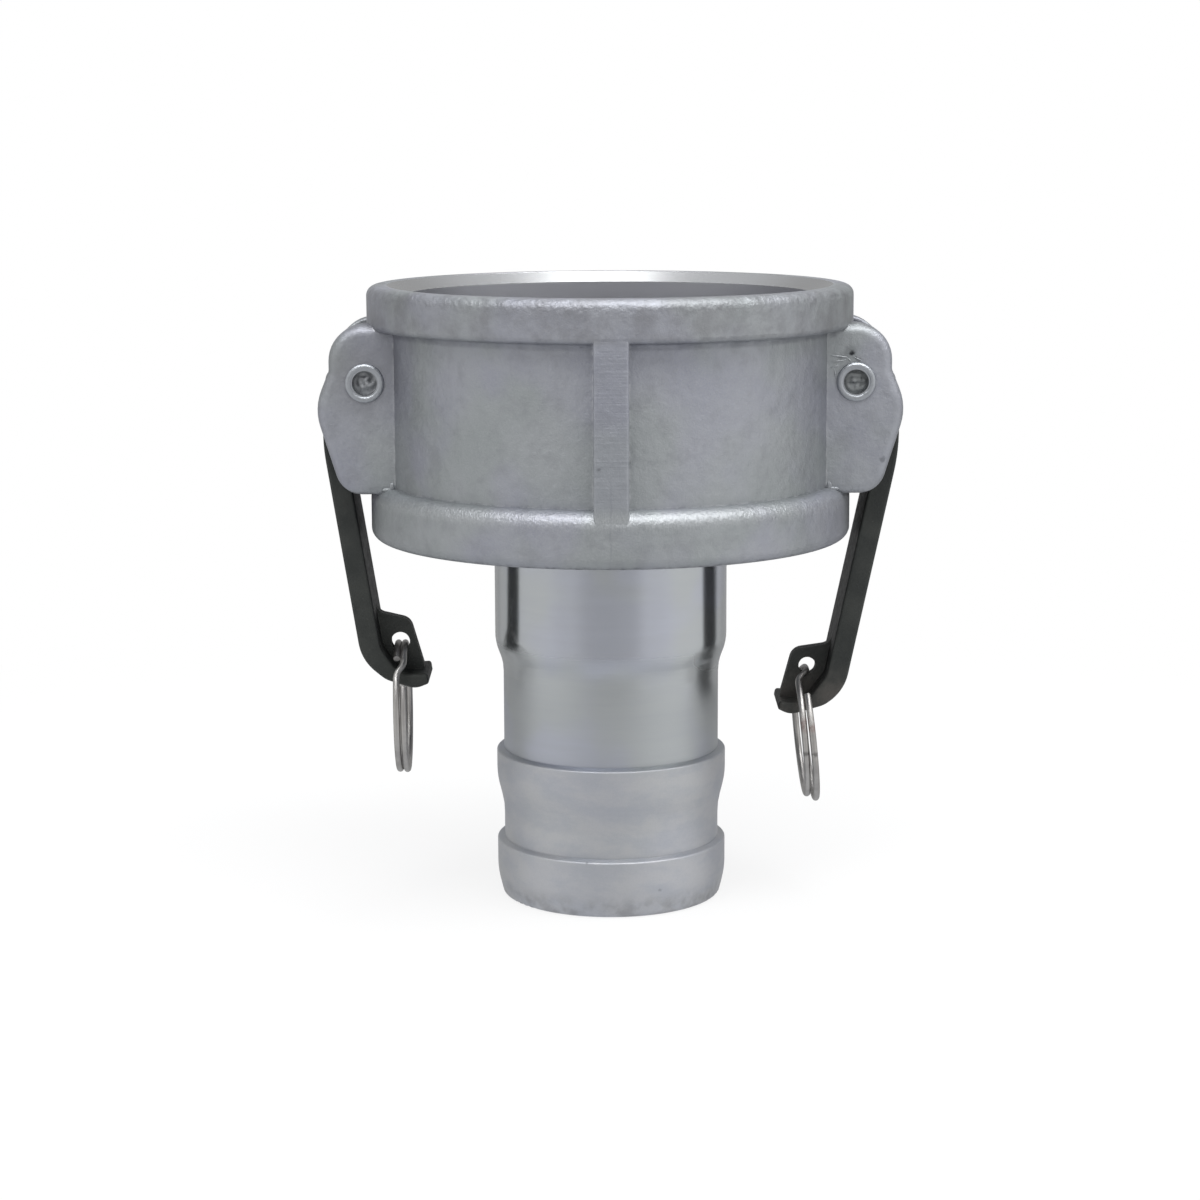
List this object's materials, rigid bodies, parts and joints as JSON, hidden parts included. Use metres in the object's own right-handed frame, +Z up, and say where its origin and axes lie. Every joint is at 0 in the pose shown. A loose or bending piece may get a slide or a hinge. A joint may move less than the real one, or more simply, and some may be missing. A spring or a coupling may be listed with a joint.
{
  "type": "cam and groove coupler",
  "caption": "Cast cam and groove reducing coupler: wide socket, black cam levers with split pull rings, and a narrower barbed hose shank below.",
  "frame": {"origin": "centre of the hose shank's end face, on which the coupler stands", "axes": "+Z up the coupler's axis towards the socket's mouth, +X through the right lever's pin, -Y the side that faces the viewer in the picture"},
  "size_m": [0.1296, 0.1092, 0.1402],
  "materials": {
    "cast_aluminium": "shot-blasted cast aluminium, machined bright on the shank, socket and lead-in",
    "gasket_rubber": "matt black rubber",
    "lever_black": "satin black coating over cast metal",
    "pin_steel": "plain turned steel, staked ends",
    "ring_steel": "drawn stainless wire"
  },
  "bodies": {
    "coupler": {"coupler_body": "cast_aluminium", "gasket": "gasket_rubber", "pin_left": "pin_steel", "pin_right": "pin_steel"},
    "left_lever": {"lever_left": "lever_black"},
    "right_lever": {"lever_right": "lever_black"},
    "left_ring": {"ring_left": "ring_steel"},
    "right_ring": {"ring_right": "ring_steel"}
  },
  "joints": [
    {"name": "left_lever_hinge", "type": "hinge", "parent": "coupler", "child": "left_lever", "pos_m": [-0.0541, 0, 0.1195], "axis": [0, 1, 0], "range_deg": [-3, 110]},
    {"name": "right_lever_hinge", "type": "hinge", "parent": "coupler", "child": "right_lever", "pos_m": [0.0541, 0, 0.1195], "axis": [0, -1, 0], "range_deg": [-3, 110]},
    {"name": "left_ring_swing", "type": "hinge", "parent": "left_lever", "child": "left_ring", "pos_m": [-0.04816, 0, 0.05888], "axis": [0, 1, 0], "range_deg": [-34, 10]},
    {"name": "right_ring_swing", "type": "hinge", "parent": "right_lever", "child": "right_ring", "pos_m": [0.04501, 0, 0.05294], "axis": [0, -1, 0], "range_deg": [-26, 10]}
  ]
}
